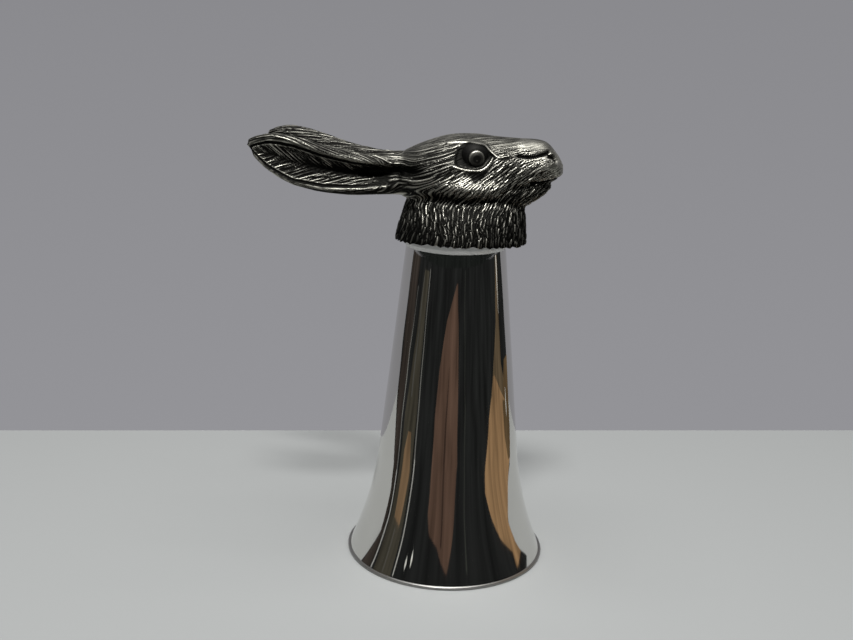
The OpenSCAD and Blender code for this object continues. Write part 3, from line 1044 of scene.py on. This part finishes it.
class CUP_OT_eyes(bpy.types.Operator):
    """Turn the two eyes with their raised irises"""

    bl_idname = "stirrup.eyes"
    bl_label = "Eyes"

    def execute(self, context):
        tone = context.scene.cup_finishes
        dark = antiqued("dark_eye", tone.rubbed, tone.eye)
        radius = (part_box("right_eye")[1].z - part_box("right_eye")[0].z) / 2
        for node, turn in (("right_eye", 90), ("left_eye", -90)):
            bm = bmesh.new()
            bmesh.ops.create_uvsphere(bm, u_segments=96, v_segments=96, radius=radius)
            relief = []
            for v in bm.verts:
                ring = math.degrees(math.acos(max(-1, min(1, v.co.z / radius))))
                iris = math.exp(-((ring / IRIS) ** 8))
                outer = math.exp(-(((ring - IRIS) / 4.0) ** 2))
                pupil = math.exp(-(((ring - PUPIL) / 4.5) ** 2))
                hole = math.exp(-((ring / PUPIL_HOLE) ** 4))
                moat = math.exp(-(((ring - MOAT) / 5) ** 2))
                lift = 0.05 * iris + 0.12 * outer + 0.04 * pupil - 0.06 * hole - 0.16 * moat
                # Painted highlight: the iris's outer ring lighter towards its top, and a painted
                # glint just below the middle of the pupil.
                rise = v.co.y / radius * (1 if turn > 0 else -1)
                painted_glint = math.exp(-((v.co.x / radius / 0.1) ** 2) - ((rise + 0.1) / 0.07) ** 2)
                bright = 0.2 + 0.2 * iris + outer * (0.3 + 0.8 * rise) - 0.3 * hole
                relief.append(min(1, bright + 0.4 * painted_glint * (v.co.z > 0)))
                v.co *= 1 + lift * MM / radius
            ahead = Matrix.Rotation(math.radians(turn * 0.13), 4, "Z")
            outward = Matrix.Rotation(math.radians(turn), 4, "X")
            spin = Matrix.Translation(middle(node)) @ ahead @ outward
            bmesh.ops.transform(bm, matrix=spin, verts=bm.verts)
            eye = piece_from(bm, node + "_bead")
            eye.data.shade_smooth()
            eye.data.attributes.new("relief", "FLOAT", "POINT").data.foreach_set("value", relief)
            finish_piece(eye, dark, node)
        return {"FINISHED"}


# Stage

# The table's corners, in metres, from the near left one round
TABLE = ((-1.5, -1.2, 0), (1.5, -1.2, 0), (1.5, 0.3301, 0), (-1.5, -0.1295, 0))
# Lamps: name, place, aim, size and watts
LAMPS = (
    ("key", (0.0, -0.42, 0.78), (0, 0, 0.09), (0.14, 0.1), 4.5),
    ("top", (0.0, -0.05, 1.0), (0, 0, 0.0), (0.8, 0.5), 6.0),
)
# The camera: its picture's width and focal length in pixels, its place and its turns in degrees
IMAGE_WIDTH, FOCAL_PIXELS, SENSOR_WIDTH = 853, 1100, 36.0
CAMERA_STAND = (0, -0.3147, 0.1564)
CAMERA_TURN, CAMERA_PITCH, CAMERA_ROLL, CAMERA_YAW = 2.0, 14.99, 1.88, -1.43


def panel(name, corners, material):
    """A flat sheet of the stage from its four corners."""
    bm = bmesh.new()
    bm.faces.new([bm.verts.new(c) for c in corners])
    bmesh.ops.recalc_face_normals(bm, faces=bm.faces)
    sheet = piece_from(bm, name)
    sheet.data.materials.append(material)


def matt(name, tone):
    material, shader = new_material(name)
    finish = {"Base Color": (*tone, 1), "Roughness": 0.85, "Specular IOR Level": 0.0}
    for key, value in finish.items():
        shader.inputs[key].default_value = value
    return material


def room(tone):
    """A dim even light, which the camera and the polish see as a pale backdrop."""
    world = bpy.data.worlds.new("stage_world")
    world.use_nodes = True
    tree = world.node_tree
    tree.nodes.clear()
    light = add(tree, "ShaderNodeBackground", {"Color": (0.9, 0.9, 0.92, 1), "Strength": 0.12})
    toward = add(tree, "ShaderNodeTexCoord").outputs["Generated"]
    height = add(tree, "ShaderNodeSeparateXYZ", {0: toward}).outputs["Z"]
    fade = ranged(tree, height, -0.36, 0.02, 1.0, 0.86)
    seen = add(tree, "ShaderNodeBackground", {"Color": (*tone, 1), "Strength": fade})
    path = add(tree, "ShaderNodeLightPath").outputs
    sees = math_node(tree, "MAXIMUM", path["Is Camera Ray"], path["Is Glossy Ray"])
    sees = math_node(tree, "MAXIMUM", sees, path["Is Transmission Ray"])
    mix = {0: sees, 1: light.outputs[0], 2: seen.outputs[0]}
    mixed = add(tree, "ShaderNodeMixShader", mix).outputs[0]
    add(tree, "ShaderNodeOutputWorld", {0: mixed})
    return world


# Cards that the polished wall mirrors: distance, tone, and rows of height, first and last degree,
# with distance and height in millimetres and degrees counted from the camera's side
CARD_COLUMNS, CARD_GAP = 60, 0.2
SURROUND = [
    (120, (0.014, 0.016, 0.015), [(88, -105, 112), (140, -105, 112), (200, -90, 90)]),
    (60, (0.017, 0.018, 0.018), [
        (0.5, -87, 95), (5, -82, 86), (10, -76, 79), (14, -75, 84), (16, -76, 92), (18, -79, 103),
        (27, -85, 109), (42, -93, 111), (60, -98, 112), (91, -98, 109),
    ]),
    (60, (0.045, 0.037, 0.032), [
        (1, -86, -74), (10, -76, -72), (18, -78, -74), (42, -92, -77), (91, -97, -74),
    ]),
    (60, (0.06, 0.055, 0.042), [(4, -68, -48), (40, -70, -49), (60, -66, -50), (88, -60, -50)]),
    (60, (0.2, 0.13, 0.075), [(15, -62, -53), (22, -64, -51), (28, -64, -53), (35, -60, -55)]),
    (60, (0.55, 0.55, 0.53), [(4, -72, -70.6), (14, -70.8, -69.4), (21, -73.2, -71.8)]),
    (60, (0.2, 0.2, 0.19), [
        (21, -73.2, -71.8), (38, -76, -74.5), (60, -76, -74.8), (82, -71.8, -71),
    ]),
    (60, (0.45, 0.45, 0.43), [(8, -46.2, -45.2), (18, -45.7, -44.6), (27, -45.8, -44.4)]),
    (60, (0.19, 0.19, 0.18), [(27, -46, -44.4), (41, -47.6, -45.8), (89, -48.3, -47.2)]),
    (60, (0.12, 0.115, 0.1), [(6, -57.6, -56.6), (14, -58, -56.8)]),
    (60, (0.1, 0.1, 0.095), [(46, -62, -60.5), (86, -60, -59)]),
    (60, (0.108, 0.066, 0.048), [
        (12.5, 2, 3.3), (14.2, -3, 5.3), (16, -7, 7.4), (17.5, -16.5, 8.7), (20, -20.5, 10),
        (28, -20.2, 12.5), (43, -20.5, 12), (58, -18, 11.5), (74, -10, 9.5), (86, 4.5, 6.5),
    ]),
    (60, (0.05, 0.031, 0.024), [(16, -4, -2.5), (28, -6, -3.5), (44, -5, -3), (60, -3, -2.5)]),
    (60, (0.045, 0.048, 0.043), [(12, 21, 22.2), (45, 22, 23.2), (90, 18.5, 19.5)]),
    (60, (0.13, 0.095, 0.058), [
        (36, 59, 106), (41, 61.5, 105), (55, 72.5, 92), (70, 82, 91), (91, 88, 94),
    ]),
    (60, (0.31, 0.19, 0.098), [
        (4, 74, 87), (7, 75, 83), (12, 63, 79), (16.5, 55, 92), (20.5, 50, 104), (26, 52.5, 108),
        (41, 61.5, 100), (47, 67, 86), (53, 72.5, 75),
    ]),
    (60, (0.12, 0.08, 0.042), [(21, 99, 105), (30, 93, 109), (42, 91, 110), (55, 101, 112)]),
    (60, (0.75, 0.74, 0.7), [(72, 90.5, 91), (80, 89.5, 91), (91, 89.5, 92)]),
    (60, (0.7, 0.69, 0.65), [(36, 100, 100.5), (40, 99, 101), (46, 100, 100.5)]),
    (60, (0.9, 0.9, 0.85), [(10, -35.8, -35.6), (11.2, -36.6, -34.8), (12.4, -35.8, -35.6)]),
    (60, (0.9, 0.9, 0.85), [(11, -30.8, -30.6), (12.4, -31.5, -29.9), (13.8, -30.8, -30.6)]),
]


def surround():
    """Dim glowing cards round the cup's front, seen only by mirrors: painted reflections on the
    polished wall.
    """
    for number, (distance, shade, rows) in enumerate(SURROUND):
        bm = bmesh.new()
        radius = (distance - CARD_GAP * number) * MM
        grid = []
        for height, first, last in rows:
            degrees = [first + (last - first) * k / CARD_COLUMNS for k in range(CARD_COLUMNS + 1)]
            turns = [math.radians(d - 90 + CAMERA_TURN) for d in degrees]
            places = [(radius * math.cos(t), radius * math.sin(t), height * MM) for t in turns]
            grid.append([bm.verts.new(place) for place in places])
        for low, high in zip(grid, grid[1:]):
            for k in range(CARD_COLUMNS):
                bm.faces.new((low[k], low[k + 1], high[k + 1], high[k]))
        card = piece_from(bm, "surround_%d" % number)
        material = empty_material("stage_surround_%d" % number)
        tree = material.node_tree
        place = add(tree, "ShaderNodeTexCoord").outputs["Object"]
        streaks = noise(tree, stretched(tree, place, (1, 1, 0.2)), 160.0, 4.0)
        level = ranged(tree, streaks, 0.3, 0.7, 0.55, 1.35)
        glow = add(tree, "ShaderNodeEmission", {"Color": (*shade, 1), "Strength": level})
        add(tree, "ShaderNodeOutputMaterial", {0: glow.outputs[0]})
        card.data.materials.append(material)
        for ray in ("camera", "diffuse", "shadow", "transmission", "volume_scatter"):
            setattr(card, "visible_" + ray, False)


class CUP_OT_stage(bpy.types.Operator):
    """Set the table, the pale room, the lamps, the mirrored cards and the camera"""

    bl_idname = "stirrup.stage"
    bl_label = "Stage"

    def execute(self, context):
        scene, tone = context.scene, context.scene.cup_finishes
        panel("table", TABLE, matt("stage_table", tone.table))
        scene.world = room(tone.wall)
        for name, place, aim, size, watts in LAMPS:
            light = bpy.data.lights.new(name, "AREA")
            light.shape = "RECTANGLE"
            light.size, light.size_y = size
            light.energy = watts
            holder = bpy.data.objects.new(name, light)
            holder.location = place
            toward = (Vector(aim) - Vector(place)).to_track_quat("-Z", "Y")
            holder.rotation_euler = toward.to_euler()
            scene.collection.objects.link(holder)
        surround()
        camera = bpy.data.cameras.new("camera")
        camera.sensor_width = SENSOR_WIDTH
        camera.lens = FOCAL_PIXELS * SENSOR_WIDTH / IMAGE_WIDTH
        camera.clip_start = 0.01
        holder = bpy.data.objects.new("camera", camera)
        degrees = (CAMERA_TURN, CAMERA_PITCH, CAMERA_ROLL, CAMERA_YAW)
        turn, pitch, roll, yaw = (math.radians(d) for d in degrees)
        aim = Matrix.Rotation(turn - yaw, 4, "Z") @ Matrix.Rotation(math.pi / 2 - pitch, 4, "X")
        stand = Matrix.Rotation(turn, 4, "Z") @ Vector(CAMERA_STAND)
        holder.matrix_world = Matrix.Translation(stand) @ aim @ Matrix.Rotation(roll, 4, "Z")
        scene.collection.objects.link(holder)
        scene.camera = holder
        scene.view_settings.view_transform = "Standard"
        return {"FINISHED"}


class CUP_PT_pieces(bpy.types.Panel):
    """The pieces of the stirrup cup"""

    bl_idname = "CUP_PT_pieces"
    bl_label = "Stirrup cup"
    bl_space_type = "VIEW_3D"
    bl_region_type = "UI"
    bl_category = "Stirrup cup"

    def draw(self, context):
        column = self.layout.column()
        for maker in MAKERS:
            column.operator(maker.bl_idname)
        for holder in ("cup_sizes", "casting_sizes", "cup_finishes"):
            values = getattr(context.scene, holder)
            for key in values.__annotations__:
                column.prop(values, key)


MAKERS = (
    CUP_OT_wall, CUP_OT_rim, CUP_OT_floor, CUP_OT_collar, CUP_OT_casting, CUP_OT_eyes, CUP_OT_stage,
)
GROUPS = (CupSizes, CastingSizes, Finishes)


def register():
    for kind in GROUPS + MAKERS + (CUP_PT_pieces,):
        bpy.utils.register_class(kind)
    bpy.types.Scene.cup_sizes = PointerProperty(type=CupSizes)
    bpy.types.Scene.casting_sizes = PointerProperty(type=CastingSizes)
    bpy.types.Scene.cup_finishes = PointerProperty(type=Finishes)


def unregister():
    for name in ("cup_sizes", "casting_sizes", "cup_finishes"):
        delattr(bpy.types.Scene, name)
    for kind in reversed(GROUPS + MAKERS + (CUP_PT_pieces,)):
        bpy.utils.unregister_class(kind)


def main():
    register()
    for maker in MAKERS:
        section, name = maker.bl_idname.split(".")
        getattr(getattr(bpy.ops, section), name)()


if __name__ == "__main__":
    main()
